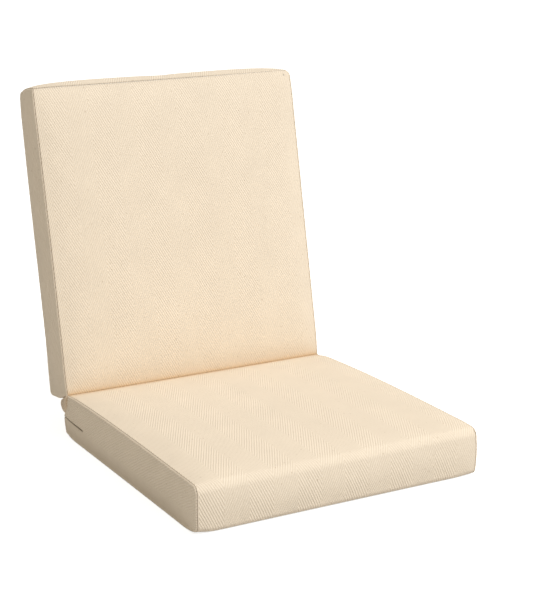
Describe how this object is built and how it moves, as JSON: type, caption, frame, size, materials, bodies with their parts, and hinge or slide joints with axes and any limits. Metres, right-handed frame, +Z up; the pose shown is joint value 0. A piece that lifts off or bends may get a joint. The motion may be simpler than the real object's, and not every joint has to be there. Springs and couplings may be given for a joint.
{
  "type": "chair seat and back pad",
  "caption": "Two-part chair pad: a boxed seat cushion and a boxed back cushion, joined by a folded fabric hinge, each a foam slab in a zipped herringbone cover.",
  "frame": {"origin": "middle of the seat cushion's underside", "axes": "+X to the right as seen from the front, +Y from the seat's front to its rear, +Z up"},
  "size_m": [0.5, 0.6537, 0.5803],
  "materials": {
    "cover": "matte",
    "foam": "matte",
    "wadding": "matte",
    "zip_tape": "matte",
    "zip_teeth": "satin",
    "zip_metal": "satin"
  },
  "bodies": {
    "seat": {"seat_foam": "foam", "seat_wadding": "wadding", "seat_top_panel": "cover", "seat_bottom_panel": "cover", "seat_side_panel_left": "cover", "seat_side_panel_right": "cover", "seat_rear_panel_upper": "cover", "seat_rear_panel_lower": "cover", "seat_zip_tape_upper": "zip_tape", "seat_zip_tape_lower": "zip_tape", "seat_zip_teeth_upper": "zip_teeth", "seat_zip_teeth_lower": "zip_teeth", "seat_zip_stops": "zip_metal", "hinge_strip": "cover"},
    "backrest": {"back_foam": "foam", "back_wadding": "wadding", "back_front_panel": "cover", "back_rear_panel": "cover", "back_side_panel_left": "cover", "back_side_panel_right": "cover", "back_bottom_panel_front": "cover", "back_bottom_panel_rear": "cover", "back_zip_tape_front": "zip_tape", "back_zip_tape_rear": "zip_tape", "back_zip_teeth_front": "zip_teeth", "back_zip_teeth_rear": "zip_teeth", "back_zip_stops": "zip_metal"},
    "seat_slider": {"seat_zip_slider": "zip_metal"},
    "back_slider": {"back_zip_slider": "zip_metal"}
  },
  "joints": [
    {"name": "backrest_fold", "type": "hinge", "parent": "seat", "child": "backrest", "pos_m": [0, 0.245, 0.072], "axis": [1, 0, 0], "range_deg": [-44, 78], "deforming": ["hinge_strip"]},
    {"name": "seat_zip_slide", "type": "slide", "parent": "seat", "child": "seat_slider", "axis": [1, 0, 0], "range_m": [-0.452, 0]},
    {"name": "back_zip_slide", "type": "slide", "parent": "backrest", "child": "back_slider", "axis": [1, 0, 0], "range_m": [-0.452, 0]}
  ]
}
